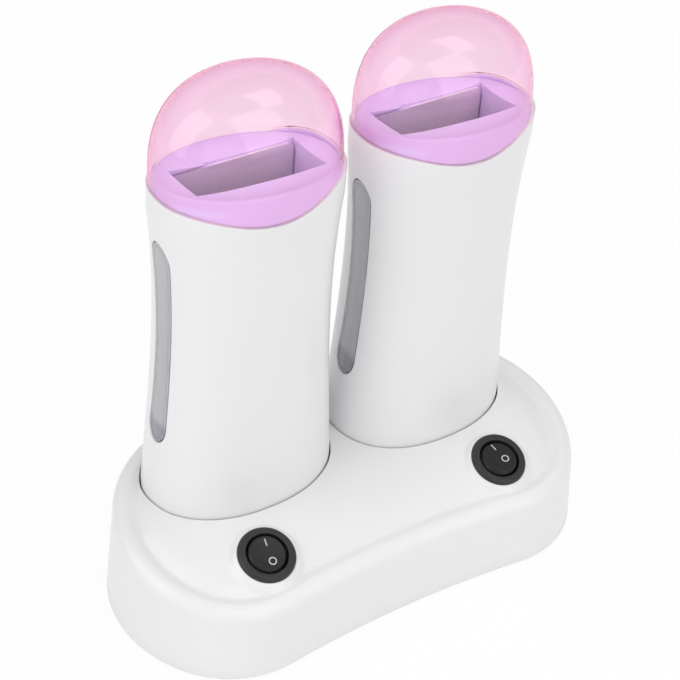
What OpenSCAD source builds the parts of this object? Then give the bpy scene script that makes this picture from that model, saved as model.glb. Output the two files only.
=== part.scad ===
// Double roll-on wax heater: two hand-held cartridge heaters standing in a wedge-shaped charging base.
// Millimetres. Origin on the table under the middle of the base, X along the base, -Y to the front, +Z up.

/* [Base] */
// Distance of the front lobe centres from the middle
lobe_x = 61; // [56:0.5:66]
// Radius of the front lobes
lobe_r = 41.5; // [38:0.5:44]
// How far the middle of the front edge curves inwards
front_sag = 3.4; // [2:0.1:5]
// Radius of the sides and back corners
side_r = 54; // [50:0.5:58]
// Angle at which each lobe runs into the side
join_angle = -36; // [-45:1:-30]
// Overall depth of the base
base_depth = 103; // [101:0.5:106]
// Height of the rim at the middle of the base
rim_mid_h = 41.8; // [38:0.2:46]
// Rise of the rim towards the back, per millimetre
rim_slope = 0.184; // [0.1:0.002:0.24]
// Wall thickness of the base shell
base_wall = 2.2; // [1.8:0.1:2.6]
// Radius of the rounded top edge of the base
rim_round = 5; // [3:0.5:6]
// Depth of the groove inside the rim
groove = 1.8; // [1:0.1:2.4]
// Height of the crowned deck above the groove
deck_crown = 6.2; // [4:0.2:8]

/* [Heaters] */
// Distance of each heater's axis from the middle of the base
heater_x = 42.6; // [42.4:0.1:46]
// Distance of the heater axes behind the middle of the base
heater_y = 17.7; // [15:0.1:18]
// Height of the deck at the heaters, where the bodies come out
deck_h = 48.3; // [46:0.1:50]
// Roundness of the oval sections, 2 is an ellipse
oval = 2.25; // [2:0.05:2.6]
// Half widths of the body 0, 50, 100 and 150 mm above the deck
body_half_w = [39.9, 36.4, 35.5, 40.8];
// Half depths of the body 0, 50, 100 and 150 mm above the deck
body_half_d = [26.5, 24.7, 24.6, 27.6];
// Wall thickness of the body
body_wall = 1.8; // [1.5:0.1:2.2]
// Depth of the body below the deck
dock_depth = 26; // [22:0.5:28]
// Gap between a body and the hole in the deck
dock_gap = 0.9; // [0.7:0.1:1.1]
// Height of the collar's rim above the deck, at the heater's axis
collar_h = 140.4; // [139:0.2:141]
// Rise of the collar's rim per millimetre, towards +X and towards the back
collar_slope = [-0.05, -0.1];
// Width of the cartridge slot
slot_w = 52.8; // [51:0.2:53]
// Depth of the cartridge slot
slot_d = 20.8; // [20:0.2:21]

/* [Lid] */
// Half width and half depth where the lid meets the body
edge_half = [37.3, 26.2];
// Half width and half depth of the lid where its dome starts
lid_half = [37, 26.3];
// Roundness of the lid's oval sections, 2 is an ellipse
lid_oval = 2.04; // [2:0.02:2.2]
// Height of the lid's top above the deck
lid_top = 176.4; // [170:0.2:180]
// Height above the deck where the dome starts
lid_spring = 139.3; // [138:0.1:141]
// How far the lid's top lies to the right of the heater's axis and behind it
lid_lean = [-0.4, 2];
// Wall thickness of the lid
lid_wall = 1.6; // [1.2:0.1:1.8]
// Fullness of the dome, 2 is an ellipse
lid_full = 2.7; // [2.2:0.1:3]

/* [Switches] */
// Distance of each switch from the middle of the base
switch_x = 55.8; // [54:0.1:58]
// Distance of the switches in front of the middle
switch_y = 28.2; // [26:0.1:30]
// Tilt of the switches towards the front
switch_tilt = 21.5; // [18:0.5:24]
// Diameter of the switch bezel
bezel_d = 23.5; // [22:0.5:24]
// Diameter of the panel hole that the switch clips into
panel_hole_d = 20.2; // [20:0.1:20.6]
// Diameter of the rocker's face
rocker_d = 15.6; // [15:0.1:15.8]
// Angle between a rocker's two positions
rocker_throw = 14; // [10:1:16]
// Turn of the left and right switch in its hole
switch_turn = [-6, 12];

/* [Hidden] */
$fn = 48;

white = "#f2f2f3";
lilac = "#dcbcec";
pink = [0.98, 0.66, 0.84, 0.5];
black = "#26272a";
steel = "#c4c6c9";
brass = "#d4b25c";

eps = 0.01;
half_depth = base_depth / 2;
segments = 48;

// ---- base outline: tangent arcs, drawn in by an inset ----
lobe_y = lobe_r - half_depth;
side_x = lobe_x - (side_r - lobe_r) * cos(join_angle);
side_y = half_depth - side_r;
hollow_r = (pow(lobe_x, 2) + pow(lobe_r - front_sag, 2) - pow(lobe_r, 2)) / (2 * front_sag);
hollow_y = front_sag - half_depth - hollow_r;
hollow_angle = atan(lobe_x / (lobe_y - hollow_y));
shell_bottom = 1.2;

function arc(centre, r, from, to, steps) = [
    for (i = [0:steps]) let (t = from + (to - from) * i / steps) centre + r * [cos(t), sin(t)]
];

// Right half from the middle of the front round to the middle of the back
function half_outline(inset) = concat(
    arc([0, hollow_y], hollow_r + inset, 90, 90 - hollow_angle, 5),
    arc([lobe_x, lobe_y], lobe_r - inset, -90 - hollow_angle, join_angle, 9),
    arc([side_x, side_y], side_r - inset, join_angle + 7, 90, 15),
    [[side_x / 2, half_depth - inset]]
);

// Drops the last point of the first arc, which the next arc repeats, and mirrors the half
function outline(inset) = let (
    all = half_outline(inset),
    right = [for (i = [0:len(all) - 1]) if (i != 5) all[i]],
    n = len(right)
) concat(right, [[0, half_depth - inset]], [for (i = [n - 1:-1:1]) [-right[i].x, right[i].y]]);

function rim_z(y) = rim_mid_h + rim_slope * y;
deck_half_w = 93;
deck_half_d = 42.5;
function deck_z(x, y) = rim_z(y) - groove
    + deck_crown * (1 - pow(y / deck_half_d, 2)) * (1 - pow(abs(x) / deck_half_w, 10));

// ---- heater sections ----
body_heights = [0, 50, 100, 150];
function cubic(z, v) = let (h = body_heights) [for (i = [0:3]) let (
        terms = [for (j = [0:3]) if (j != i) (z - h[j]) / (h[i] - h[j])]
    ) v[i] * terms[0] * terms[1] * terms[2]] * [1, 1, 1, 1];
dock_draft = 0.02;
function body_size(z) = z < deck_h
    ? [body_half_w[0], body_half_d[0]] - dock_draft * (deck_h - z) * [1, 1]
    : [cubic(z - deck_h, body_half_w), cubic(z - deck_h, body_half_d)];

function bulge(c, power) = sign(c) * pow(abs(c), 2 / power);
function oval_ring(size, z, power = oval) = [for (i = [0:segments - 1]) let (t = i * 360 / segments)
    [size.x * bulge(cos(t), power), size.y * bulge(sin(t), power), z]
];
function flat_ring(size) = [for (p = oval_ring(size, 0)) [p.x, p.y]];

// The line where lid and body meet dips at the front and back
edge_mid = deck_h + 134.5;
edge_dip = 3.6;
edge_reach_left = 42;
edge_reach_right = 35;
function edge_z(x) = edge_mid - edge_dip * cos(180 * min(max(-x / edge_reach_left, x / edge_reach_right), 1));
function edge_ring(size, rise) = [for (p = oval_ring(size, 0)) [p.x, p.y, edge_z(p.x) + rise]];

// Stacks closed rings of equal length into one solid, with a point in the middle of each end
module loft(rings) {
    n = len(rings[0]);
    k = len(rings);
    function middle(r) = [for (p = r) 1] * r / len(r);
    points = concat([for (r = rings) each r], [middle(rings[0]), middle(rings[k - 1])]);
    sides = [for (j = [0:k - 2]) for (i = [0:n - 1]) let (
        a = j * n + i, b = j * n + (i + 1) % n, c = b + n, d = a + n
    ) each [[a, d, c], [a, c, b]]];
    ends = [for (i = [0:n - 1]) let (j = (i + 1) % n, top = (k - 1) * n)
        each [[k * n, i, j], [k * n + 1, top + j, top + i]]];
    polyhedron(points, concat(sides, ends), convexity = 8);
}

// Sweeps a thin round wire along a route of points
wire_sides = 6;
function unit(v) = v / norm(v);
function way(route, i) = unit(route[min(i + 1, len(route) - 1)] - route[max(i - 1, 0)]);
function wire_ring(route, r, i) = let (
    t = way(route, i),
    u = unit(cross(t, abs(t.x) < 0.8 ? [1, 0, 0] : [0, 1, 0])),
    v = cross(t, u)
) [for (s = [0:wire_sides - 1]) let (q = s * 360 / wire_sides) route[i] + r * (cos(q) * u + sin(q) * v)];
module wire(route, r) loft([for (i = [0:len(route) - 1]) wire_ring(route, r, i)]);

module at_heater(side) translate([side * heater_x, heater_y, 0]) children();

// ---- base ----
function base_ring(inset, drop) = [for (p = outline(inset)) [p.x, p.y, rim_z(p.y) - drop]];
deck_inset = 12;
deck_scales = [0.94, 0.84, 0.7, 0.52, 0.3, 0.1];
function deck_ring(scale, inset, drop) = [
    for (p = outline(deck_inset + inset)) let (x = p.x * scale, y = p.y * scale) [x, y, deck_z(x, y) - drop]
];
// The rim's rounded edge is a quarter arc in four steps, and the groove runs along its foot
wall_draft = 2.6;
rim_steps = [0, 22.5, 45, 67.5, 90];
groove_start = 9;
groove_slope = 10.4;
function trough_z(p) = min(deck_z(p.x, p.y), rim_z(p.y) - groove * 0.8);
module base_solid(inset, drop, bottom) {
    foot = [for (p = outline(inset)) [p.x, p.y, bottom]];
    edge = [for (t = rim_steps) base_ring(
        inset + wall_draft + rim_round * (1 - cos(t)), drop + rim_round * (1 - sin(t)))];
    trough = [
        base_ring(inset + groove_start, drop + groove * 0.1),
        base_ring(inset + groove_slope, drop + groove * 0.55),
        [for (p = outline(deck_inset + inset)) [p.x, p.y, trough_z(p) - drop]]
    ];
    loft(concat([foot], edge, trough, [for (s = deck_scales) deck_ring(s, inset, drop)]));
}

// Each screw's x and y, and the height of its boss's top above the rim there
screw_spots = [[84, -26, -2.6], [90.5, 12, -2.6], [0, -24, 1], [-90.5, 12, -2.6], [-84, -26, -2.6]];
boss_r = 3.4;
screw_r = 1.5;
screw_hole_h = 12;
module screw_bosses() for (p = screw_spots) translate([p.x, p.y, plate_top])
    cylinder(r = boss_r, h = rim_z(p.y) + p.z - plate_top);

plate_bottom = 1.6;
plate_top = 4;
module dock_hole(from, to) for (side = [-1, 1]) at_heater(side) translate([0, 0, from])
    linear_extrude(to - from) polygon(flat_ring(hole_size));
hole_size = [body_half_w[0], body_half_d[0]] + dock_gap * [1, 1];

// Switches sit on low round pads that face the user
pad_d = 26;
pad_rise = 2.2;
pad_flare = 2;
function side_index(side) = side < 0 ? 0 : 1;
module at_switch(side) translate([side * switch_x, -switch_y, deck_z(switch_x, -switch_y) + pad_rise])
    rotate([switch_tilt, 0, 0]) children();
module switch_pad() translate([0, 0, -base_wall - pad_rise])
    rotate_extrude() polygon([
        [0, 0], [pad_d / 2 + pad_flare, 0], [pad_d / 2 + pad_flare, base_wall - 0.5],
        [pad_d / 2, base_wall + pad_rise * 0.7], [pad_d / 2 - 1, base_wall + pad_rise],
        [0, base_wall + pad_rise]
    ]);

inlet_z = 11.5;
inlet_w = 24;
inlet_h = 13;
inlet_depth = 18;
inlet_back = half_depth - 1.1;
flange_t = 1.5;
module stadium(w, h) hull() for (s = [-1, 1]) translate([s * (w - h) / 2, 0]) circle(d = h);
// Lays an outline on the back wall, running forwards from y
module from_back(y, depth) translate([0, y, inlet_z]) rotate([90, 0, 0]) linear_extrude(depth) children();

module base_shell() color(white) difference() {
    union() {
        difference() {
            base_solid(0, 0, shell_bottom);
            base_solid(base_wall, base_wall, shell_bottom - 1);
        }
        screw_bosses();
        for (side = [-1, 1]) at_switch(side) switch_pad();
        from_back(half_depth - 1.5, 4.5) square([inlet_w + 5, inlet_h + 1.6], center = true);
    }
    dock_hole(deck_h - 20, deck_h + 10);
    for (side = [-1, 1]) at_switch(side) translate([0, 0, -8]) cylinder(d = panel_hole_d, h = 12);
    for (p = screw_spots) translate([p.x, p.y, plate_top - 1]) cylinder(r = screw_r, h = screw_hole_h);
    from_back(half_depth + 1, half_depth + 1 - (inlet_back - flange_t - 0.1))
        square([inlet_w + 0.4, inlet_h + 0.4], center = true);
    from_back(half_depth, 10) square([inlet_body_w + 0.3, inlet_body_h + 0.3], center = true);
}

foot_spots = [[72, -34], [74, 30], [-74, 30], [-72, -34]];
foot_r = 6.5;
peg_r = 2;
module base_plate() color(white) difference() {
    translate([0, 0, plate_bottom]) linear_extrude(plate_top - plate_bottom)
        polygon(outline(base_wall + 0.4));
    for (p = screw_spots) translate([p.x, p.y, 0]) {
        cylinder(r = screw_r + 0.1, h = 10);
        cylinder(r = 3.3, h = plate_bottom + 1.3);
    }
    for (p = foot_spots) translate([p.x, p.y, 0]) cylinder(r = peg_r, h = 10);
}

module feet() color(black) for (p = foot_spots) translate([p.x, p.y, 0]) {
    cylinder(r1 = foot_r - 0.5, r2 = foot_r, h = 0.6);
    translate([0, 0, 0.6]) cylinder(r = foot_r, h = plate_bottom - 0.6);
    translate([0, 0, plate_bottom - eps]) cylinder(r = peg_r, h = 3.4);
}

module base_screws() color(steel) for (p = screw_spots) translate([p.x, p.y, plate_bottom]) difference() {
    union() {
        cylinder(r = 3, h = 1.3);
        cylinder(r = screw_r, h = 10);
    }
    for (a = [0, 90]) rotate(a) translate([-1.8, -0.4, -1]) cube([3.6, 0.8, 1.7]);
}

inlet_body_w = 20;
inlet_body_h = 9.8;
pin_pitch = 8.64;
pin_r = 1.18;
recess_depth = 13;
recess_w = 16.8;
recess_h = 8.2;
pin_tail = 4;
pin_setback = 2.5;
module mains_inlet() color(black) difference() {
    union() {
        from_back(inlet_back, flange_t) square([inlet_w, inlet_h], center = true);
        from_back(inlet_back - flange_t + eps, inlet_depth - flange_t)
            square([inlet_body_w, inlet_body_h], center = true);
    }
    from_back(inlet_back + 1, recess_depth + 1) stadium(recess_w, recess_h);
    for (s = [-1, 1]) translate([s * pin_pitch / 2, 0, inlet_z]) rotate([-90, 0, 0])
        cylinder(r = pin_r, h = 60);
}

module inlet_pins() color(steel) for (s = [-1, 1])
    translate([s * pin_pitch / 2, inlet_back - inlet_depth - pin_tail, inlet_z]) rotate([-90, 0, 0])
        cylinder(r = pin_r, h = inlet_depth + pin_tail - pin_setback);

// Docking cups hang under the deck, and each has a floor with two holes for the contacts
cup_wall = 1.5;
cup_play = 0.1;
cup_floor_top = deck_h - dock_depth - 0.3;
cup_floor = 2;
pin_x = 8;
module dock_cup(side) color(white) difference() {
    intersection() {
        at_heater(side) translate([0, 0, cup_floor_top - cup_floor]) linear_extrude(40)
            polygon(flat_ring(hole_size + (cup_play + cup_wall) * [1, 1]));
        base_solid(base_wall, base_wall, shell_bottom - 1);
    }
    at_heater(side) {
        translate([0, 0, cup_floor_top]) linear_extrude(60) polygon(flat_ring(hole_size + cup_play * [1, 1]));
        for (s = [-1, 1]) translate([s * pin_x, 0, 0]) cylinder(r = barrel_r + 0.5, h = 60);
    }
}

carrier_top = cup_floor_top - cup_floor;
carrier_h = 8;
barrel_r = 2.1;
barrel_h = 9;
barrel_floor = 1.2;
pin_tip = cup_floor_top + 0.3;
module contact_carrier(side) color(black) at_heater(side) difference() {
    translate([0, 0, carrier_top - carrier_h / 2]) cube([28, 12, carrier_h], center = true);
    for (s = [-1, 1]) translate([s * pin_x, 0, 0]) cylinder(r = barrel_r, h = 60);
}

plunger_r = 1.2;
module contact_barrels(side) color(brass) at_heater(side) for (s = [-1, 1])
    translate([s * pin_x, 0, carrier_top - barrel_h]) difference() {
        cylinder(r = barrel_r, h = barrel_h + 0.6);
        translate([0, 0, barrel_floor]) cylinder(r = plunger_r + 0.08, h = barrel_h);
    }

plunger_travel = 1.5;
plunger_foot = carrier_top - barrel_h + barrel_floor + plunger_travel + 0.3;
module contact_pin(side, s) color(brass) at_heater(side) translate([s * pin_x, 0, 0])
    rotate_extrude() polygon([
        [0, plunger_foot], [plunger_r, plunger_foot], [plunger_r, pin_tip - 0.7],
        [plunger_r - 0.3, pin_tip - 0.2], [plunger_r - 0.8, pin_tip], [0, pin_tip]
    ]);

// ---- switches ----
bezel_h = 1.9;
opening_r = 8.5;
switch_depth = 13;
pivot_z = -1.2;
axle_r = 1.2;
axle_play = 0.08;
blade = [4.8, 0.8, 8.2];
blade_y = 4;
blade_low = -19.5;
module at_rocker(side) at_switch(side) rotate(switch_turn[side_index(side)]) children();

module switch_housing(side) color(black) at_rocker(side) difference() {
    union() {
        rotate_extrude() polygon([
            [0, 0], [bezel_d / 2, 0], [bezel_d / 2, 0.7], [bezel_d / 2 - 0.9, bezel_h - 0.3],
            [bezel_d / 2 - 1.3, bezel_h], [opening_r + 0.5, bezel_h], [opening_r, bezel_h - 0.4],
            [0, bezel_h - 0.4]
        ]);
        translate([0, 0, -switch_depth]) cylinder(d = panel_hole_d - 0.2, h = switch_depth + eps);
    }
    translate([0, 0, 1.5 - switch_depth]) cylinder(r = opening_r, h = switch_depth + 5);
    translate([0, 0, pivot_z]) rotate([0, 90, 0])
        cylinder(r = axle_r + axle_play, h = 2 * panel_hole_d, center = true);
    terminal_blades();
}
// The blades stand in slots through the housing's floor
module terminal_blades() for (s = [-1, 1])
    translate([0, blade_y * s, blade_low + blade.z / 2]) cube(blade, center = true);

// A round rocker that tips about two stub axles: the left one rests front down, the right one front up
rocker_top = 3.1;
rocker_low = -3;
axle_l = 18.8;
module rocker(side) color(black)
at_rocker(side) translate([0, 0, pivot_z]) rotate([-side * rocker_throw / 2, 0, 0]) {
    rotate_extrude() polygon([
        [0, rocker_low], [rocker_d / 2 - 1.2, rocker_low], [rocker_d / 2, rocker_low + 1.4],
        [rocker_d / 2, rocker_top - 1.1], [rocker_d / 2 - 0.9, rocker_top], [0, rocker_top]
    ]);
    rotate([0, 90, 0]) cylinder(r = axle_r, h = axle_l, center = true);
}

module switch_terminals(side) color(brass) at_rocker(side) terminal_blades();

// Live runs from one inlet pin to the front blade of both switches, the rear blades feed the outer contacts,
// and neutral runs from the other pin to the inner contacts
wire_r = 0.8;
// A wire ends this far short of what it is soldered to
solder_gap = 0.35;
tail_y = inlet_back - inlet_depth - pin_tail - solder_gap;
barrel_low = carrier_top - barrel_h;
function blade_tip(side, s) = let (
    turn = switch_turn[side_index(side)],
    at = [-sin(turn) * blade_y * s, cos(turn) * blade_y * s, blade_low - solder_gap],
    origin = [side * switch_x, -switch_y, deck_z(switch_x, -switch_y) + pad_rise],
    c = cos(switch_tilt), d = sin(switch_tilt)
) origin + [at.x, c * at.y - d * at.z, d * at.y + c * at.z];
function contact_end(x) = [x, heater_y, barrel_low - solder_gap];
module base_wires() color("#b03030") for (side = [-1, 1]) {
    front = blade_tip(side, -1);
    rear = blade_tip(side, 1);
    inner = contact_end(side * (heater_x - pin_x));
    outer = contact_end(side * (heater_x + pin_x));
    live = [-pin_pitch / 2, tail_y, inlet_z];
    neutral = [pin_pitch / 2, tail_y, inlet_z];
    wire([live, live - [0, 5, 1], [side * 8 - 2, 10, 6.5], [side * 22, -2, 6.5], [side * 44, -18, 7.5],
        front - [0, 0, 6], front], wire_r);
    wire([neutral, neutral - [0, 4, -0.5], [side * 7 + 2, 17, 11.8], [side * 20, 17, 9.4],
        inner - [side * 3, 0, 3.8], inner - [side * 0.5, 0, 2.6], inner], wire_r);
    wire([rear, rear - [0, 0, 7], [side * 60, -8, 8], [side * 60, 6, 6.5], [side * 55, 15, 6.5],
        outer - [0, 0, 3.2], outer], wire_r);
}

// ---- heaters ----
body_bottom = deck_h - dock_depth;
cap_h = 2;
edge_gap = 0.35;
body_rings = [body_bottom + cap_h, deck_h - 10, for (h = [0, 14, 30, 48, 66, 84, 100, 114]) deck_h + h];
module body_solid(inset, extra) loft(concat(
    [for (z = body_rings) oval_ring(body_size(z) - inset * [1, 1], z == body_rings[0] ? z - extra : z)],
    [edge_ring(body_size(edge_mid - 10) - inset * [1, 1], -8)],
    [edge_ring(edge_half - inset * [1, 1], extra - edge_gap)]
));

window_low = deck_h + 27.2;
window_high = deck_h + 118.5;
window_end = 8.5;
window_steps = 30;
// Slightly narrower at the body's waist, and a little forward of the middle of its side
function window_bow(z) = pow((z - deck_h - 68) / 30, 2) / 2;
function window_mid(z) = window_bow(z) - 2.1;
function window_half(z) = (4.5 + window_bow(z))
    * sqrt(1 - pow(1 - min((z - window_low) / window_end, (window_high - z) / window_end, 1), 2));
function window_z(i) = window_low + (window_high - window_low) * (1 - cos(180 * i / window_steps)) / 2;
function window_side(s, grow) = [
    for (i = [1:window_steps - 1]) let (z = window_z(s > 0 ? i : window_steps - i))
        [window_mid(z) + s * (window_half(z) + grow), z]
];
function window_outline(grow) = concat(
    window_side(1, grow), [[window_mid(window_high), window_high + grow]],
    window_side(-1, grow), [[window_mid(window_low), window_low - grow]]
);
// A prism through the left-hand side only, its outline seen along X
module window_prism(grow) translate([-60, 0, 0]) rotate([90, 0, 90]) linear_extrude(40)
    polygon(window_outline(grow));

module body(side) color(white) at_heater(side) difference() {
    body_solid(0, 0);
    body_solid(body_wall, 1);
    window_prism(0);
}

module window(side) color([0.55, 0.55, 0.58, 0.6]) at_heater(side) intersection() {
    difference() {
        body_solid(0.1, 0);
        body_solid(body_wall + 0.2, 1);
    }
    window_prism(-0.05);
}

cap_screw_x = 20;
cap_floor = 4;
cap_lip = 5;
cap_lip_wall = 1.8;
pad_r = 4;
cap_head_z = body_bottom + 1.6;
function cap_size(inset) = body_size(body_bottom) - inset * [1, 1];
module body_cap(side) color(white) at_heater(side) difference() {
    loft([
        oval_ring(cap_size(1.6), body_bottom),
        oval_ring(cap_size(0.5), body_bottom + 0.5),
        oval_ring(cap_size(0), body_bottom + 1.5),
        oval_ring(cap_size(0), body_bottom + cap_h),
        oval_ring(cap_size(body_wall + 0.1), body_bottom + cap_h),
        oval_ring(cap_size(body_wall + 0.1), body_bottom + cap_h + cap_lip)
    ]);
    translate([0, 0, body_bottom + cap_floor]) linear_extrude(20)
        polygon(flat_ring(cap_size(body_wall + cap_lip_wall)));
    for (s = [-1, 1]) {
        translate([s * pin_x, 0, 0]) cylinder(r = pad_r, h = 60);
        translate([s * cap_screw_x, 0, 0]) cylinder(r = screw_r + 0.1, h = 60);
        translate([s * cap_screw_x, 0, cap_head_z - 5]) cylinder(r = 3, h = 5);
    }
}

cap_screw_l = 12;
module cap_screws(side) color(steel) at_heater(side) for (s = [-1, 1])
translate([s * cap_screw_x, 0, cap_head_z - 1.2]) {
    cylinder(r = 2.8, h = 1.2);
    cylinder(r = screw_r, h = cap_screw_l);
}

pad_low = 0.6;
stud_h = 2;
pad_top = body_bottom + cap_floor + stud_h;
module contact_pads(side) color(brass) at_heater(side) for (s = [-1, 1])
translate([s * pin_x, 0, body_bottom]) {
    translate([0, 0, pad_low]) cylinder(r = pad_r, h = cap_floor - pad_low);
    translate([0, 0, cap_floor - eps]) cylinder(r = 1, h = stud_h + eps);
}

cavity_bottom = body_bottom + 26;
cradle_top = deck_h + 121.5;
cradle_wall = 1.5;
cradle_shelf = 2;
cradle_back = slot_d / 2 + 3;
post_low = body_bottom + cap_floor + 0.05;
plate_y = slot_d / 2 + 0.2;
plate_t = 1.2;
back_y = plate_y + plate_t;

// Three-sided channel that the cartridge slides into, open at the back for the heating plate
module cradle_outline() translate([-slot_w / 2 - cradle_wall, -slot_d / 2 - cradle_wall])
    square([slot_w + 2 * cradle_wall, cradle_back + slot_d / 2 + cradle_wall]);
module cradle(side) color("#e9e9ec") at_heater(side) difference() {
    union() {
        translate([0, 0, cavity_bottom - cradle_shelf]) linear_extrude(cradle_shelf) cradle_outline();
        translate([0, 0, cavity_bottom - eps]) linear_extrude(cradle_top - cavity_bottom) difference() {
            cradle_outline();
            translate([-slot_w / 2, -slot_d / 2]) square([slot_w, slot_d + 10]);
        }
        for (s = [-1, 1]) translate([s * cap_screw_x, 0, post_low])
            cylinder(r = 3.2, h = cavity_bottom - cradle_shelf / 2 - post_low);
    }
    for (s = [-1, 1]) translate([s * cap_screw_x, 0, body_bottom]) cylinder(r = screw_r, h = 14);
    translate([-slot_w / 2 - 5, -6.5, window_low + 12]) cube([10, 13, 79]);
}

plate_top_z = deck_h + 136.2;
plate_corner = 3;
plate_half = slot_w / 2 - 0.1;
module heating_plate(side) color(steel) at_heater(side) translate([0, back_y, 0]) rotate([90, 0, 0])
    linear_extrude(plate_t) {
        translate([-plate_half, cavity_bottom])
            square([2 * plate_half, plate_top_z - plate_corner - cavity_bottom]);
        hull() for (s = [-1, 1]) translate([s * (plate_half - plate_corner), plate_top_z - plate_corner])
            circle(r = plate_corner);
    }

ptc_t = 4.5;
module ptc_heater(side) color("#d9d4c4") at_heater(side)
    translate([-18, back_y, deck_h + 30]) cube([36, ptc_t, 50]);

module thermostat(side) color(steel) at_heater(side) translate([-16, back_y, deck_h + 92]) {
    cube([16, 4.4, 8]);
    for (x = [3, 12]) translate([x, 2, -5]) cube([1, 0.6, 5 + eps]);
}

module thermal_fuse(side) color("#e8e2d2") at_heater(side) translate([10, back_y + 1.85, deck_h + 90]) {
    cylinder(r = 1.8, h = 11);
    translate([0, 0, -5]) cylinder(r = 0.4, h = 21);
}

// A springy strip that presses the heater on to the plate, its legs splayed out to the cradle's ends
clamp_t = 0.8;
clamp_half = 21;
clamp_y = back_y + ptc_t;
clamp_foot = slot_w / 2 + 0.3;
clamp_end = slot_w / 2 + cradle_wall;
module heater_clamp(side) color(steel) at_heater(side) translate([0, 0, deck_h + 48]) linear_extrude(14)
    polygon([
        [-clamp_half, clamp_y], [clamp_half, clamp_y], [clamp_foot, cradle_back], [clamp_end, cradle_back],
        [clamp_end, cradle_back + clamp_t], [clamp_half, clamp_y + clamp_t], [-clamp_half, clamp_y + clamp_t],
        [-clamp_end, cradle_back + clamp_t], [-clamp_end, cradle_back], [-clamp_foot, cradle_back]
    ]);

module heater_leads(side) color("#b03030") at_heater(side) for (s = [-1, 1])
    wire([[s * pin_x, 0, pad_top + solder_gap], [s * pin_x, 1.5, body_bottom + 10],
        [s * 9, 10, body_bottom + 15], [s * 10, 16, body_bottom + 22], [s * 10, 17, body_bottom + 34],
        [s * 10, 15, body_bottom + 44],
        [s * 10, 14, deck_h + 26], [s * 10, 14, deck_h + 30]], wire_r);

// ---- collar and lid ----
// The collar's rim lies in a plane that falls towards the back, with a shallow dish inside it
collar_z = deck_h + collar_h;
collar_low = deck_h + 122;
collar_step = edge_mid - 2;
collar_wall = 3;
collar_deck = 2.4;
dish = 2.6;
collar_foot = edge_half - (body_wall + 0.4) * [1, 1];
collar_rim = lid_half - (lid_wall + 0.9) * [1, 1];
function leaning(ring) = [for (p = ring) p + [0, 0, collar_slope * [p.x, p.y]]];
function collar_ring(inset, z) = leaning(oval_ring(collar_rim - inset * [1, 1], z, lid_oval));
function dished(scale) = leaning(
    oval_ring(collar_rim * scale, collar_z - dish * (1 - pow(scale, 4)), lid_oval)
);
module collar_outer() loft(concat(
    [oval_ring(collar_foot - [0.9, 0.9], collar_low), oval_ring(collar_foot - [0.4, 0.4], collar_low + 4)],
    [oval_ring(collar_foot, collar_step), collar_ring(-0.3, collar_z - 5)],
    [collar_ring(0, collar_z - 1.2), collar_ring(0.4, collar_z - 0.3), collar_ring(1.2, collar_z)],
    [for (s = [0.93, 0.86, 0.75]) dished(s)]
));
module collar_inner() loft([
    oval_ring(collar_foot - (collar_wall + 0.9) * [1, 1], collar_low - 1),
    collar_ring(collar_wall, collar_z - dish - collar_deck)
]);
skirt = 1.2;
module collar(side) color(lilac) at_heater(side) difference() {
    collar_outer();
    difference() {
        collar_inner();
        translate([-slot_w / 2 - skirt, -slot_d / 2 - skirt, cradle_top + 0.3])
            cube([slot_w + 2 * skirt, slot_d + skirt - 0.3, 30]);
    }
    translate([-slot_w / 2, -slot_d / 2, collar_low - 1]) cube([slot_w, slot_d, 40]);
    translate([-slot_w / 2, 0, collar_low - 1]) cube([slot_w, back_y + 0.2, plate_top_z + 1.3 - collar_low]);
}

lid_z = deck_h + lid_spring;
lid_peak = deck_h + lid_top;
lid_steps = [0, 12, 25, 38, 50, 61, 71, 79, 85];
// A section of the dome: wide at the spring line, drawn in and back towards the top
function lid_ring(t, inset) = let (
    wide = pow(cos(t), 2 / lid_full),
    high = pow(sin(t), 2 / lid_full),
    ring = oval_ring((lid_half - inset * [1, 1]) * wide, lid_z + (lid_peak - inset - lid_z) * high, lid_oval)
) [for (p = ring) p + [lid_lean.x, lid_lean.y * high, 0]];
module lid_solid(inset) loft(concat(
    [edge_ring(edge_half - inset * [1, 1], inset > 0 ? -1 : 0)],
    [for (t = lid_steps) lid_ring(t, inset)]
));
module lid(side) color(pink) at_heater(side) difference() {
    lid_solid(0);
    lid_solid(lid_wall);
}

base_shell();
base_plate();
feet();
base_screws();
mains_inlet();
inlet_pins();
base_wires();
dock_cup(-1);  // dock_cup_left
dock_cup(1);  // dock_cup_right
contact_carrier(-1);  // contact_carrier_left
contact_carrier(1);  // contact_carrier_right
contact_barrels(-1);  // contact_barrels_left
contact_barrels(1);  // contact_barrels_right
contact_pin(-1, -1);  // contact_pin_left_1
contact_pin(-1, 1);  // contact_pin_left_2
contact_pin(1, -1);  // contact_pin_right_1
contact_pin(1, 1);  // contact_pin_right_2
switch_housing(-1);  // switch_housing_left
switch_housing(1);  // switch_housing_right
rocker(-1);  // rocker_left
rocker(1);  // rocker_right
switch_terminals(-1);  // switch_terminals_left
switch_terminals(1);  // switch_terminals_right
body(-1);  // body_left
body(1);  // body_right
body_cap(-1);  // body_cap_left
body_cap(1);  // body_cap_right
cap_screws(-1);  // cap_screws_left
cap_screws(1);  // cap_screws_right
contact_pads(-1);  // contact_pads_left
contact_pads(1);  // contact_pads_right
window(-1);  // window_left
window(1);  // window_right
collar(-1);  // collar_left
collar(1);  // collar_right
cradle(-1);  // cradle_left
cradle(1);  // cradle_right
heating_plate(-1);  // heating_plate_left
heating_plate(1);  // heating_plate_right
ptc_heater(-1);  // ptc_heater_left
ptc_heater(1);  // ptc_heater_right
thermostat(-1);  // thermostat_left
thermostat(1);  // thermostat_right
thermal_fuse(-1);  // thermal_fuse_left
thermal_fuse(1);  // thermal_fuse_right
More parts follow.
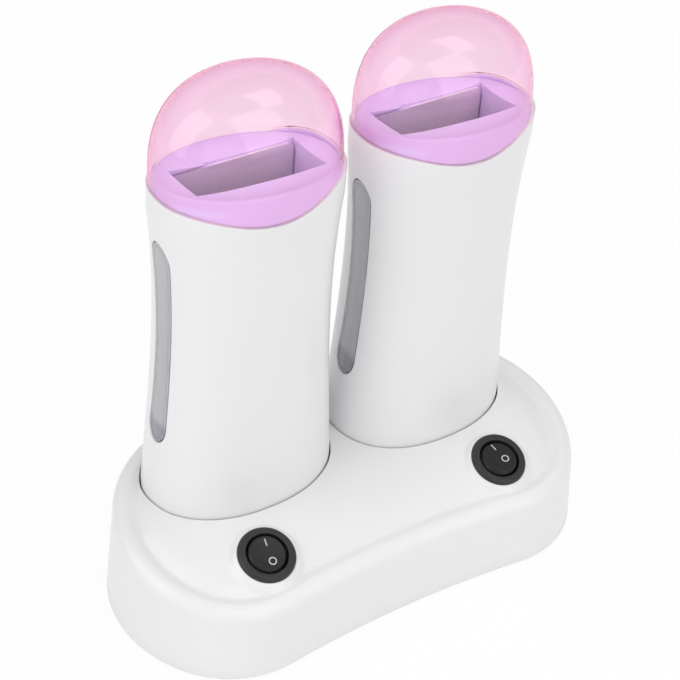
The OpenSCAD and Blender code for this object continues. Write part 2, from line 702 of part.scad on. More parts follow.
heater_clamp(-1);  // heater_clamp_left
heater_clamp(1);  // heater_clamp_right
heater_leads(-1);  // heater_leads_left
heater_leads(1);  // heater_leads_right
lid(-1);  // lid_left
lid(1);  // lid_right
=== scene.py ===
# A double roll-on wax heater: two hand-held cartridge heaters standing in a wedge-shaped charging base.
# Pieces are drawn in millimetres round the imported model's own origin, and settle() brings them to metres.
import math

import bmesh
import bpy
from mathutils import Matrix, Vector


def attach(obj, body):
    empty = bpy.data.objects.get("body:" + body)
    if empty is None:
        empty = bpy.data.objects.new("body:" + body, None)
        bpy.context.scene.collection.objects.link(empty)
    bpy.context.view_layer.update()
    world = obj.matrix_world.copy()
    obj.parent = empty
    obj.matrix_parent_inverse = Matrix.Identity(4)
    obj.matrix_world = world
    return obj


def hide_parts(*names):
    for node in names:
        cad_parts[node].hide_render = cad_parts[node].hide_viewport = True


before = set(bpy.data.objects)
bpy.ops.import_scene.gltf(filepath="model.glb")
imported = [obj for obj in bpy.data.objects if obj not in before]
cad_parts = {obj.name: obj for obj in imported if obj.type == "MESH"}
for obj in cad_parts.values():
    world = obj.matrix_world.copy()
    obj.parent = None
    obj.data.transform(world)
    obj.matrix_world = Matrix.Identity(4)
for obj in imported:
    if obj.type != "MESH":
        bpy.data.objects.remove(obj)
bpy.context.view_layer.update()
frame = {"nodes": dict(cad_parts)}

# ---- Base shell ----
# One injection moulding of glossy white ABS: a wedge with two front lobes, a rounded rim with a groove inside it,
# a crowned deck and a low round pad under each switch. The heaters, the switches and the inlet sit in its holes.
LOBE_X = 61.0
LOBE_R = 41.5
FRONT_SAG = 3.4
SIDE_R = 54.0
JOIN_ANGLE = -36.0
HALF_DEPTH = 51.5
RIM_MID = 41.8
RIM_SLOPE = 0.184
RIM_ROUND = 5.0
WALL_DRAFT = 2.6
GROOVE = 1.44
GROOVE_START = WALL_DRAFT + RIM_ROUND
GROOVE_WIDTH = 4.4
GROOVE_RISE = 0.5
DECK_DROP = 1.8
DECK_CROWN = 6.2
DECK_HALF_W = 93.0
DECK_HALF_D = 42.5
BASE_WALL = 2.2
SHELL_BOTTOM = 1.2
FOOT_ROUND = 0.6

LOBE_Y = LOBE_R - HALF_DEPTH
SIDE_X = LOBE_X - (SIDE_R - LOBE_R) * math.cos(math.radians(JOIN_ANGLE))
SIDE_Y = HALF_DEPTH - SIDE_R
HOLLOW_R = (LOBE_X ** 2 + (LOBE_R - FRONT_SAG) ** 2 - LOBE_R ** 2) / (2 * FRONT_SAG)
HOLLOW_Y = FRONT_SAG - HALF_DEPTH - HOLLOW_R
HOLLOW_ANGLE = math.degrees(math.atan(LOBE_X / (LOBE_Y - HOLLOW_Y)))

HEATER_X = 42.6
HEATER_Y = 17.7
DECK_Z = 48.3
HOLE_HALF = (40.4, 27.0)
OVAL = 2.25
OVAL_COUNT = 176
SIDES = {"left": -1, "right": 1}

SWITCH_X = 55.8
SWITCH_Y = -28.2
SWITCH_TILT = math.radians(21.5)
SWITCH_TURN = {"left": -6.0, "right": 12.0}
PAD_RISE = 2.2
PAD_TOP_R = 11.9
PAD_FLANK = 3.3
PAD_REACH = 19.0
PANEL_HOLE_R = 10.1


def spread(start, stop, steps):
    """Evenly spaced values, both ends included."""
    return [start + (stop - start) * i / steps for i in range(steps + 1)]


def smooth_step(t):
    t = min(max(t, 0.0), 1.0)
    return t * t * (3 - 2 * t)


def soft_min(a, b, blend):
    """The lower of two heights, with a small fillet where they cross."""
    near = max(blend - abs(a - b), 0.0) / blend
    return min(a, b) - near * near * blend / 4


def arc(x, y, radius, start, stop, steps):
    return [(x + radius * math.cos(math.radians(a)), y + radius * math.sin(math.radians(a)))
            for a in spread(start, stop, steps)]


def base_outline(inset):
    """The base seen from above, drawn in by inset: a hollow front, two lobes, round sides and a flat back."""
    right = arc(0, HOLLOW_Y, HOLLOW_R + inset, 90, 90 - HOLLOW_ANGLE, 10)[:-1]
    right += arc(LOBE_X, LOBE_Y, LOBE_R - inset, -90 - HOLLOW_ANGLE, JOIN_ANGLE, 26)
    right += arc(SIDE_X, SIDE_Y, SIDE_R - inset, JOIN_ANGLE, 90, 44)[1:]
    right += [(x, HALF_DEPTH - inset) for x in spread(SIDE_X, 0, 16)[1:]]
    return right + [(-x, y) for x, y in reversed(right[1:-1])]


def inset_at(x, y):
    """How far inside the outline a point of the deck lies."""
    x = abs(x)
    lobe_angle = math.degrees(math.atan2(y - LOBE_Y, x - LOBE_X))
    if y < LOBE_Y and lobe_angle < -90 - HOLLOW_ANGLE:
        return math.hypot(x, y - HOLLOW_Y) - HOLLOW_R
    if x > SIDE_X and lobe_angle >= JOIN_ANGLE:
        return SIDE_R - math.hypot(x - SIDE_X, y - SIDE_Y)
    if y < LOBE_Y:
        return LOBE_R - math.hypot(x - LOBE_X, y - LOBE_Y)
    return HALF_DEPTH - y


def rim_z(y):
    return RIM_MID + RIM_SLOPE * y


def crown_z(x, y):
    return (rim_z(y) - DECK_DROP
            + DECK_CROWN * (1 - (y / DECK_HALF_D) ** 2) * (1 - (abs(x) / DECK_HALF_W) ** 10))


SWITCH_Z = crown_z(SWITCH_X, SWITCH_Y) + PAD_RISE


def top_z(x, y):
    """Height of the base's top: rim, groove, crowned deck and switch pads in one surface."""
    inset = inset_at(x, y)
    across = (inset - GROOVE_START) / GROOVE_WIDTH
    rim_side = rim_z(y) - GROOVE * smooth_step(across)
    rim_side += GROOVE_RISE * max(0.0, inset - GROOVE_START - GROOVE_WIDTH)
    deck = crown_z(math.copysign(min(abs(x), DECK_HALF_W), x), math.copysign(min(abs(y), DECK_HALF_D), y))
    deck += 3 * max(0.0, 1 - across)
    height = soft_min(rim_side, deck, 0.4)
    reach = math.hypot(abs(x) - SWITCH_X, (y - SWITCH_Y) / math.cos(SWITCH_TILT))
    pad = SWITCH_Z + math.tan(SWITCH_TILT) * (y - SWITCH_Y)
    return height + (pad - height) * (1 - smooth_step((reach - PAD_TOP_R) / PAD_FLANK))


def loft(name, rings):
    """A circle drawn up ring by ring into a skin. Rings that shrink to a point, or meet the first, close it."""
    bpy.ops.object.select_all(action="DESELECT")
    bpy.ops.mesh.primitive_circle_add(vertices=len(rings[0]), radius=1)
    skin = bpy.context.object
    skin.name = skin.data.name = name
    bpy.ops.object.mode_set(mode="EDIT")
    mesh = bmesh.from_edit_mesh(skin.data)
    order = mesh.verts.layers.int.new("order")
    for i, vertex in enumerate(mesh.verts):
        vertex[order] = i
        vertex.co = rings[0][i]
    for ring in rings[1:]:
        bpy.ops.mesh.extrude_region()
        mesh = bmesh.from_edit_mesh(skin.data)
        order = mesh.verts.layers.int["order"]
        for vertex in mesh.verts:
            if vertex.select:
                vertex.co = ring[vertex[order]]
    bpy.ops.mesh.select_all(action="SELECT")
    bpy.ops.mesh.remove_doubles(threshold=1e-5)
    bpy.ops.mesh.normals_make_consistent(inside=False)
    bpy.ops.object.mode_set(mode="OBJECT")
    return skin


def apply_modifier(piece, kind, **settings):
    bpy.ops.object.select_all(action="DESELECT")
    piece.select_set(True)
    bpy.context.view_layer.objects.active = piece
    modifier = piece.modifiers.new(kind.title(), kind)
    for key, value in settings.items():
        setattr(modifier, key, value)
    bpy.ops.object.modifier_apply(modifier=modifier.name)


def carve(piece, *tools, operation="DIFFERENCE", crossing=False):
    """Cuts tools out of a piece in one pass, or joins them on, and throws them away.

    Crossing tools meet each other.
    """
    bpy.ops.object.select_all(action="DESELECT")
    for tool in tools:
        tool.select_set(True)
    bpy.context.view_layer.objects.active = tools[0]
    if len(tools) > 1:
        bpy.ops.object.join()
    apply_modifier(piece, "BOOLEAN", operation=operation, object=tools[0], solver="EXACT", use_self=crossing)
    bpy.data.objects.remove(tools[0])


def cylinder(name, radius, low, high, matrix, points=96):
    """A plain cutter or boss between two heights, turned and moved by matrix."""
    def ring(r, z):
        return [matrix @ Vector((r * math.cos(a), r * math.sin(a), z))
                for a in (2 * math.pi * i / points for i in range(points))]
    return loft(name, [ring(0, low), ring(radius, low), ring(radius, high), ring(0, high)])


def slab(name, lowest, highest):
    """A squared block or cutter between two corners."""
    size = [b - a for a, b in zip(lowest, highest)]
    bpy.ops.object.select_all(action="DESELECT")
    bpy.ops.mesh.primitive_cube_add(size=1, location=[(a + b) / 2 for a, b in zip(lowest, highest)], scale=size)
    bpy.ops.object.transform_apply(location=True, rotation=False, scale=True)
    bpy.context.object.name = name
    return bpy.context.object


def oval_points(half_w, half_d, power=OVAL):
    """A superellipse seen from above."""
    return [(half_w * math.copysign(abs(math.cos(a)) ** (2 / power), math.cos(a)),
             half_d * math.copysign(abs(math.sin(a)) ** (2 / power), math.sin(a)))
            for a in (2 * math.pi * i / OVAL_COUNT for i in range(OVAL_COUNT))]


class Wire:
    """A socket of a material, so that sums and products of sockets are written as plain arithmetic."""

    def __init__(self, bench, socket):
        self.bench = bench
        self.socket = socket

    def _math(self, operation, other, swap=False):
        pair = (other, self) if swap else (self, other)
        return self.bench.node("ShaderNodeMath", {"operation": operation}, {0: pair[0], 1: pair[1]})[0]

    def __add__(self, other):
        return self._math("ADD", other)

    def __radd__(self, other):
        return self._math("ADD", other, True)

    def __sub__(self, other):
        return self._math("SUBTRACT", other)

    def __rsub__(self, other):
        return self._math("SUBTRACT", other, True)

    def __mul__(self, other):
        return self._math("MULTIPLY", other)

    def __rmul__(self, other):
        return self._math("MULTIPLY", other, True)

    def __truediv__(self, other):
        return self._math("DIVIDE", other)

    def __pow__(self, other):
        return self._math("POWER", other)


class Bench:
    """One material and its nodes."""

    def __init__(self, name):
        self.material = bpy.data.materials.new(name)
        self.material.use_nodes = True
        self.tree = self.material.node_tree
        self.tree.nodes.clear()

    def node(self, kind, settings=None, inputs=None):
        """Adds a node, sets it, then gives its inputs values or wires. Returns its outputs as wires."""
        made = self.tree.nodes.new(kind)
        for key, value in (settings or {}).items():
            if key == "stops":
                for stop in range(len(value) - len(made.color_ramp.elements)):
                    made.color_ramp.elements.new(0.5)
                for element, (position, colour) in zip(made.color_ramp.elements, value):
                    element.position = position
                    element.color = colour
            else:
                setattr(made, key, value)
        for key, value in (inputs or {}).items():
            if isinstance(value, Wire):
                self.tree.links.new(value.socket, made.inputs[key])
            else:
                made.inputs[key].default_value = value
        return [Wire(self, output) for output in made.outputs]

    def place(self):
        return self.node("ShaderNodeTexCoord")[3]

    def noise(self, scale, detail=3.0, rough=0.5, vector=None):
        """Soft cloudy variation, scale counted in features per metre."""
        return self.node("ShaderNodeTexNoise", {}, {"Vector": vector or self.place(), "Scale": scale,
                                                    "Detail": detail, "Roughness": rough})[0]

    def spread_between(self, value, low, high):
        """Takes a 0 to 1 wire to the range from low to high."""
        return value * (high - low) + low

    def tint(self, factor, first, second):
        return self.node("ShaderNodeMix", {"data_type": "RGBA"}, {0: factor, 6: first, 7: second})[2]

    def bump(self, height, distance, strength=1.0):
        return self.node("ShaderNodeBump", {}, {"Height": height, "Distance": distance, "Strength": strength})[0]

    def finish(self, **inputs):
        """Ends the material in one Principled shader. Names are written with underscores for spaces."""
        sockets = {key.replace("_", " "): value for key, value in inputs.items()}
        shader = self.node("ShaderNodeBsdfPrincipled", {}, sockets)[0]
        self.node("ShaderNodeOutputMaterial", {}, {0: shader})
        return self.material


def moulded_plastic(name, colour, rough, grain=0.00001, coat=0.0, specular=0.5):
    """Injection-moulded plastic: a very fine tool texture, slow waviness, and a slight drift of tone."""
    bench = Bench(name)
    drift = bench.noise(22.0, 2.0)
    shade = bench.tint(drift, [c * 0.975 for c in colour] + [1], list(colour) + [1])
    fine = bench.noise(2600.0, 2.0, 0.6)
    polish = bench.spread_between(bench.noise(140.0, 3.0), rough - 0.03, rough + 0.04)
    return bench.finish(Base_Color=shade, Roughness=polish, Normal=bench.bump(fine, grain),
                        Coat_Weight=coat, Coat_Roughness=0.12, Specular_IOR_Level=specular)


def settle(piece, body, slot, material, *nodes, angle=32):
    """Brings a finished piece from millimetres to metres, gives it its material, hangs it on its body and hides
    the CAD pieces it replaces; the slot is not used.
    """
    bpy.ops.object.select_all(action="DESELECT")
    piece.select_set(True)
    bpy.context.view_layer.objects.active = piece
    piece.scale = (0.001, 0.001, 0.001)
    bpy.ops.object.transform_apply(location=True, rotation=True, scale=True)
    bpy.ops.object.shade_smooth_by_angle(angle=math.radians(angle))
    piece.data.materials.clear()
    piece.data.materials.append(material)
    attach(piece, body)
    if nodes:
        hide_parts(*nodes)
    return piece


def switch_frame(side):
    """Where a switch sits on its pad: tilted to the user, then turned in its hole."""
    return (Matrix.Translation((SIDES[side] * SWITCH_X, SWITCH_Y, SWITCH_Z)) @ Matrix.Rotation(SWITCH_TILT, 4, "X")
            @ Matrix.Rotation(math.radians(SWITCH_TURN[side]), 4, "Z"))


base_rings = [[(x, y, SHELL_BOTTOM + FOOT_ROUND * (1 - math.cos(math.radians(a))))
               for x, y in base_outline(FOOT_ROUND * (1 - math.sin(math.radians(a))))] for a in (0, 30, 60, 90)]
base_rings += [[(x, y, z_low + (rim_z(y) - RIM_ROUND - z_low) * t) for x, y in base_outline(WALL_DRAFT * t)]
               for z_low in [SHELL_BOTTOM + FOOT_ROUND] for t in (0.2, 0.4, 0.6, 0.8)]
base_rings += [[(x, y, rim_z(y) - RIM_ROUND * (1 - math.sin(math.radians(a))))
                for x, y in base_outline(WALL_DRAFT + RIM_ROUND * (1 - math.cos(math.radians(a))))]
               for a in spread(0, 90, 12)]
base_rings += [[(x, y, top_z(x, y)) for x, y in base_outline(GROOVE_START + step)]
               for step in spread(0.45, GROOVE_WIDTH, 10) + [5.2, 6.2, 7.4]]
DECK_EDGE = base_outline(GROOVE_START + 7.4)
base_rings += [[(x * s, y * s, top_z(x * s, y * s)) for x, y in DECK_EDGE] for s in spread(0.965, 0.035, 27)]
base_rings += [[(0, 0, top_z(0, 0))] * len(DECK_EDGE)]
base_shell = loft("base_shell_moulding", base_rings)

# The pads need a finer mesh than the rest of the deck
bpy.ops.object.mode_set(mode="EDIT")
for cuts, low, high in ((2, 0, PAD_REACH), (1, 10.5, 17.0)):
    bpy.ops.mesh.select_all(action="DESELECT")
    deck_mesh = bmesh.from_edit_mesh(base_shell.data)
    for face in deck_mesh.faces:
        centre = face.calc_center_median()
        away = math.hypot(abs(centre.x) - SWITCH_X, centre.y - SWITCH_Y)
        face.select_set(centre.z > rim_z(centre.y) - 3 and low < away < high)
    bpy.ops.mesh.subdivide(number_cuts=cuts)
    deck_mesh = bmesh.from_edit_mesh(base_shell.data)
    for vertex in deck_mesh.verts:
        if vertex.select and inset_at(vertex.co.x, vertex.co.y) > GROOVE_START:
            vertex.co.z = top_z(vertex.co.x, vertex.co.y)
bpy.ops.object.mode_set(mode="OBJECT")
apply_modifier(base_shell, "SOLIDIFY", thickness=BASE_WALL, offset=-1, use_even_offset=True)

SCREW_SPOTS = [(84, -26, -2.6), (90.5, 12, -2.6), (0, -24, 1), (-90.5, 12, -2.6), (-84, -26, -2.6)]
PLATE_TOP = 4.0
BOSS_R = 3.4
SCREW_R = 1.5
SCREW_LENGTH = 11
INLET_Z = 11.5
INLET_BACK = HALF_DEPTH - 1.1
FLANGE_HALF = (12.2, 6.7)
FLANGE_FRONT = INLET_BACK - 1.6
INLET_HALF = (10.15, 5.05)
lumps = [cylinder("boss", BOSS_R, PLATE_TOP, rim_z(y) + rise, Matrix.Translation((x, y, 0)), 32)
         for x, y, rise in SCREW_SPOTS]
lumps += [slab("inlet_block", (-14.5, HALF_DEPTH - 6, INLET_Z - 7.3), (14.5, HALF_DEPTH - 1.5, INLET_Z + 7.3))]
carve(base_shell, *lumps, operation="UNION")


def inlet_ring(half, y):
    return [(sx * half[0], y, INLET_Z + sz * half[1]) for sx, sz in ((-1, -1), (1, -1), (1, 1), (-1, 1))]


cutters = [cylinder("screw_hole", SCREW_R, PLATE_TOP - 1, PLATE_TOP + SCREW_LENGTH,
                    Matrix.Translation((x, y, 0)), 24) for x, y, rise in SCREW_SPOTS]
cutters += [loft("inlet_cutter", [inlet_ring((0, 0), HALF_DEPTH - 10), inlet_ring(INLET_HALF, HALF_DEPTH - 10),
                                  inlet_ring(INLET_HALF, FLANGE_FRONT), inlet_ring(FLANGE_HALF, FLANGE_FRONT),
                                  inlet_ring(FLANGE_HALF, HALF_DEPTH + 1), inlet_ring((0, 0), HALF_DEPTH + 1)])]

# Each dock hole has a small rounded lip that follows the crown
LIP_ROUND = 0.35
for side, sign in SIDES.items():
    def lip_ring(grow, drop):
        return [(sign * HEATER_X + x, HEATER_Y + y, top_z(sign * HEATER_X + x, HEATER_Y + y) + drop)
                for x, y in oval_points(HOLE_HALF[0] + grow, HOLE_HALF[1] + grow)]
    tool = [[(sign * HEATER_X, HEATER_Y, 25)] * OVAL_COUNT, [(x, y, 25) for x, y, z in lip_ring(0, 0)]]
    tool += [lip_ring(LIP_ROUND * (1 - math.cos(math.radians(a))), LIP_ROUND * (math.sin(math.radians(a)) - 1))
             for a in (0, 15, 30, 45, 60, 74)]
    tool += [lip_ring(LIP_ROUND * 0.8, 3), [(sign * HEATER_X, HEATER_Y, 60)] * OVAL_COUNT]
    cutters += [loft("dock_cutter", tool), cylinder("panel_cutter", PANEL_HOLE_R, -8, 4, switch_frame(side))]
carve(base_shell, *cutters)

WHITE = (0.845, 0.845, 0.855)
white_abs = moulded_plastic("glossy_white_abs", WHITE, 0.34, coat=0.25)
settle(base_shell, "base", "white_shell", white_abs, "base_shell")

# ---- Base floor, feet and screws ----
# A flat white plate closes the base from below. Four rubber feet are pegged into it, and five steel screws
# hold it up against the bosses of the shell.


def dress(material, *names):
    """Gives CAD pieces that keep their own mesh a material."""
    for name in names:
        piece = frame["nodes"][name] if isinstance(frame["nodes"], dict) else bpy.data.objects[name]
        piece.data.materials.clear()
        piece.data.materials.append(material)


def soft_rubber(name, colour):
    """Matt moulded rubber with a dusty bloom."""
    bench = Bench(name)
    bloom = bench.noise(90.0, 4.0, 0.6)
    shade = bench.tint(bloom, list(colour) + [1], [c * 1.5 for c in colour] + [1])
    return bench.finish(Base_Color=shade, Roughness=bench.spread_between(bloom, 0.7, 0.9),
                        Normal=bench.bump(bench.noise(1500.0), 0.00003))


def drawn_metal(name, colour, rough, stretch=(1, 1, 30), metallic=1.0):
    """Rolled or turned metal: fine streaks along one direction in tone, polish and relief."""
    bench = Bench(name)
    along = bench.node("ShaderNodeMapping", {}, {"Vector": bench.place(), "Scale": [900 / s for s in stretch]})[0]
    streaks = bench.noise(1.0, 4.0, 0.6, along)
    shade = bench.tint(streaks, [c * 0.86 for c in colour] + [1], list(colour) + [1])
    polish = bench.spread_between(streaks, rough - 0.06, rough + 0.1)
    return bench.finish(Base_Color=shade, Metallic=metallic, Roughness=polish,
                        Normal=bench.bump(streaks, 0.000004))


white_part = moulded_plastic("satin_white_abs", (0.78, 0.78, 0.79), 0.45, grain=0.00002)
dress(white_part, "base_plate", "dock_cup_left", "dock_cup_right")
dress(soft_rubber("foot_rubber", (0.03, 0.03, 0.032)), "feet")
zinc = drawn_metal("zinc_screw", (0.66, 0.67, 0.68), 0.3)
dress(zinc, "base_screws")

# ---- Mains inlet ----
# A black figure-8 inlet, screwed up between shell and floor at the back, with two steel pins deep in its recess.
# The photo shows no lead, so nothing is plugged into it.
black_nylon = moulded_plastic("black_nylon", (0.022, 0.022, 0.024), 0.42, grain=0.00002)
dress(black_nylon, "mains_inlet", "contact_carrier_left", "contact_carrier_right")
dress(drawn_metal("nickel_pin", (0.75, 0.73, 0.68), 0.22, (1, 30, 1)), "inlet_pins")

# ---- Wiring and dock contacts ----
# Insulated wires run from the inlet past each switch to the dock's spring contacts: brass barrels in a black
# carrier, each with a plunger that meets a pad in the heater's foot.
red_pvc = moulded_plastic("wire_pvc", (0.42, 0.03, 0.03), 0.38, grain=0.00001)
dress(red_pvc, "base_wires", "heater_leads_left", "heater_leads_right")
brass = drawn_metal("bright_brass", (0.83, 0.62, 0.27), 0.24)
for side in SIDES:
    dress(brass, f"contact_barrels_{side}", f"contact_pin_{side}_1", f"contact_pin_{side}_2",
          f"switch_terminals_{side}", f"contact_pads_{side}")

# ---- Switch housings ----
# A round black snap-in switch in each pad: a domed bezel outside, and a barrel with the contacts under the deck.
BEZEL_R = 11.75
BEZEL_H = 1.9
OPENING_R = 8.5
HOUSING_DEPTH = 13.0
PIVOT_Z = -1.2
AXLE_R = 1.2


def turned(name, profile, matrix, points=128):
    """A turned shape: radius and height pairs swept round the local Z axis."""
    return loft(name, [[matrix @ Vector((r * math.cos(a), r * math.sin(a), z))
                        for a in (2 * math.pi * i / points for i in range(points))] for r, z in profile])


def quarter(radius_at, z_at, round_r, start, stop, steps=6):
    """Points of a rounded corner about its own centre, in degrees from straight out."""
    return [(radius_at + round_r * math.cos(math.radians(a)), z_at + round_r * math.sin(math.radians(a)))
            for a in spread(start, stop, steps)]


satin_black = moulded_plastic("satin_black_nylon", (0.03, 0.03, 0.032), 0.44, grain=0.00003, specular=0.4)
for side in SIDES:
    at = switch_frame(side)
    profile = [(0, 1.5 - HOUSING_DEPTH), (OPENING_R, 1.5 - HOUSING_DEPTH), (OPENING_R, BEZEL_H - 0.6)]
    profile += quarter(OPENING_R + 0.5, BEZEL_H - 0.55, 0.5, 180, 90)
    profile += [(9.8, BEZEL_H - 0.02), (10.35, BEZEL_H - 0.1)]
    profile += [(10.85, BEZEL_H - 0.3), (11.25, BEZEL_H - 0.62), (11.55, BEZEL_H - 1.02), (11.7, BEZEL_H - 1.4)]
    profile += [(BEZEL_R, 0.25), (BEZEL_R, 0), (PANEL_HOLE_R - 0.1, 0), (PANEL_HOLE_R - 0.1, -HOUSING_DEPTH)]
    profile += [(0, -HOUSING_DEPTH)]
    housing = turned(f"switch_bezel_{side}", profile, at)
    axle = at @ Matrix.Translation((0, 0, PIVOT_Z)) @ Matrix.Rotation(math.radians(90), 4, "Y")
    carve(housing, cylinder("axle_bore", AXLE_R + 0.08, -10.3, 10.3, axle, 48))
    settle(housing, "base", "black_plastic", satin_black, f"switch_housing_{side}")

# ---- Rockers ----
# Each rocker tips about two stub axles in its housing. Its face has a chamfered edge and a slight dish, and
# carries the usual line and ring for on and off, printed in pale grey. The left one rests front down, the right
# one front up.
ROCKER_R = 7.8
ROCKER_TOP = 3.1
ROCKER_LOW = -3.0
ROCKER_TILT = 7.0
MARK_PROUD = 0.03
MARK_SUNK = -0.1
ON_MARK = {"left": (0.85, 3.5, 6.0), "right": (1.7, 3.6, 6.1)}
OFF_MARK = {"left": (0.95, -3.0), "right": (1.85, -1.9)}
RING_R = 1.4
STROKE = 0.23
DISH = 0.35
FACE_R = 6.75

rocker_black = moulded_plastic("rocker_black", (0.017, 0.017, 0.019), 0.36, grain=0.00002, specular=0.35)
mark_white = moulded_plastic("mark_white", (0.6, 0.6, 0.6), 0.5)


def face_z(r):
    """Height of the rocker's dished face at a distance from its middle."""
    return ROCKER_TOP - DISH * (1 - (min(r, FACE_R) / FACE_R) ** 2)


def printed_mark(name, outlines, matrix):
    """A thin print on the rocker's face: a closed strip between outlines, laid on the dish."""
    rings = [[matrix @ Vector((x, y, face_z(math.hypot(x, y)) + lift)) for x, y in outline]
             for outline, lift in outlines]
    return loft(name, rings)


for side, sign in SIDES.items():
    at = (switch_frame(side) @ Matrix.Translation((0, 0, PIVOT_Z))
          @ Matrix.Rotation(math.radians(-sign * ROCKER_TILT), 4, "X"))
    profile = [(0, ROCKER_LOW), (ROCKER_R - 1.2, ROCKER_LOW), (ROCKER_R, ROCKER_LOW + 1.4)]
    profile += quarter(ROCKER_R - 0.3, ROCKER_TOP - 1.3, 0.3, 0, 50, 3)
    profile += quarter(FACE_R, ROCKER_TOP - 0.25, 0.25, 50, 90, 4)
    profile += [(r, face_z(r)) for r in (6.6, 6.2, 5.6, 5, 4, 3, 2, 1, 0)]
    rocker = turned(f"rocker_cap_{side}", profile, at)
    stub = at @ Matrix.Rotation(math.radians(90), 4, "Y")
    carve(rocker, cylinder("stub_axle", AXLE_R, -9.4, 9.4, stub, 48), operation="UNION")
    settle(rocker, f"rocker_{side}", "rocker_plastic", rocker_black, f"rocker_{side}")

    x, low, high = ON_MARK[side]
    bar = [(x + STROKE * math.cos(a), (high if math.sin(a) > 0 else low) + STROKE * math.sin(a))
           for a in (2 * math.pi * (i + 0.5) / 24 for i in range(24))]
    middle = [(x + (px - x) * 0.05, (low + high) / 2 + (py - (low + high) / 2) * 0.8) for px, py in bar]
    print_on = printed_mark(f"on_line_{side}", [(bar, MARK_SUNK), (bar, MARK_PROUD), (middle, MARK_PROUD),
                                                (middle, MARK_SUNK), (bar, MARK_SUNK)], at)
    settle(print_on, f"rocker_{side}", "rocker_plastic", mark_white)

    x, y = OFF_MARK[side]
    outer = [(x + (RING_R + STROKE) * math.cos(a), y + (RING_R + STROKE) * math.sin(a))
             for a in (2 * math.pi * i / 48 for i in range(48))]
    inner = [(x + (RING_R - STROKE) * math.cos(a), y + (RING_R - STROKE) * math.sin(a))
             for a in (2 * math.pi * i / 48 for i in range(48))]
    print_off = printed_mark(f"off_ring_{side}", [(outer, MARK_SUNK), (outer, MARK_PROUD), (inner, MARK_PROUD),
                                                  (inner, MARK_SUNK), (outer, MARK_SUNK)], at)
    settle(print_off, f"rocker_{side}", "rocker_plastic", mark_white)

# ---- Heater bodies ----
# Each hand-held heater has a waisted oval body of glossy white ABS, open at the top. Its upper edge dips at the
# front and back, where the lid meets it, and a long window is let into its left-hand side.
BODY_HEIGHTS = (0, 50, 100, 150)
BODY_HALF_W = (39.9, 36.4, 35.5, 40.8)
BODY_HALF_D = (26.5, 24.7, 24.6, 27.6)
DOCK_DRAFT = 0.02
BODY_WALL = 1.8
BODY_LOW = 24.3
EDGE_MID = DECK_Z + 134.5
EDGE_DIP = 3.6
EDGE_REACH_LEFT = 42.0
EDGE_REACH_RIGHT = 35.0
EDGE_HALF = (37.3, 26.2)
EDGE_GAP = 0.35
EDGE_BLEND = 12.0
EDGE_ROUND = 0.35


def through(height, values):
    """The smooth curve through the four body sizes."""
    total = 0.0
    for i, value in enumerate(values):
        for j in range(4):
            if j != i:
                value *= (height - BODY_HEIGHTS[j]) / (BODY_HEIGHTS[i] - BODY_HEIGHTS[j])
        total += value
    return total


def edge_z(x):
    """Height of the line where lid and body meet, by the distance from the heater's axis."""
    return EDGE_MID - EDGE_DIP * math.cos(math.pi * min(max(-x / EDGE_REACH_LEFT, x / EDGE_REACH_RIGHT), 1))


def body_half(z, edge):
    """Half sizes of the body at a height, running straight up into the lid at the edge."""
    halves = []
    for values, target in zip((BODY_HALF_W, BODY_HALF_D), EDGE_HALF):
        height = z - DECK_Z
        if height < 0:
            halves.append(values[0] + DOCK_DRAFT * height)
            continue
        start = edge - EDGE_BLEND
        if z <= start:
            halves.append(through(height, values))
            continue
        u = min((z - start) / EDGE_BLEND, 1.0)
        here = through(start - DECK_Z, values)
        slope = (here - through(start - DECK_Z - 0.5, values)) * 2 * EDGE_BLEND
        halves.append(here * (2 * u ** 3 - 3 * u * u + 1) + slope * (u ** 3 - 2 * u * u + u)
                      + target * (3 * u * u - 2 * u ** 3))
    return halves


def body_ring(sign, v, inset, rise=0.0):
    """One ring of the body's skin, v from 0 at its foot to 1 at its waved upper edge."""
    ring = []
    for x, y in oval_points(1, 1):
        edge = edge_z(x * EDGE_HALF[0])
        z = BODY_LOW + (edge - BODY_LOW) * v
        half_w, half_d = body_half(z, edge)
        ring.append((sign * HEATER_X + x * (half_w - inset), HEATER_Y + y * (half_d - inset), z + rise))
    return ring


WINDOW_LOW = DECK_Z + 27.2
WINDOW_HIGH = DECK_Z + 118.5
WINDOW_END = 8.5
WINDOW_WAIST = DECK_Z + 68
WINDOW_BOW_REACH = 30
WINDOW_FORWARD = 2.1
WINDOW_WAIST_HALF = 4.5
WINDOW_EDGE_ROUND = 0.4
WINDOW_FLARE = 0.3


def window_bow(z):
    """How much the window widens away from the body's waist."""
    return ((z - WINDOW_WAIST) / WINDOW_BOW_REACH) ** 2 / 2


def window_mid(z):
    """The window's middle line: its front edge is straight and its back edge follows the waist."""
    return window_bow(z) - WINDOW_FORWARD


def window_half(z):
    """Half width of the window, with half-oval ends."""
    end = min((z - WINDOW_LOW) / WINDOW_END, (WINDOW_HIGH - z) / WINDOW_END, 1)
    return (WINDOW_WAIST_HALF + window_bow(z)) * math.sqrt(max(0.0, 1 - (1 - end) ** 2))


def window_outline(grow, steps=64):
    """The window seen from the left, as Y and Z pairs about the heater's axis, grown along its own normals."""
    levels = [WINDOW_LOW + (WINDOW_HIGH - WINDOW_LOW) * (1 - math.cos(math.pi * i / steps)) / 2
              for i in range(steps + 1)]
    line = [(window_mid(z) + window_half(z), z) for z in levels]
    line += [(window_mid(z) - window_half(z), z) for z in reversed(levels[1:-1])]
    grown = []
    for i, (y, z) in enumerate(line):
        (y0, z0), (y1, z1) = line[i - 1], line[(i + 1) % len(line)]
        long = math.hypot(y1 - y0, z1 - z0)
        grown.append((y + grow * (z1 - z0) / long, z - grow * (y1 - y0) / long))
    return grown


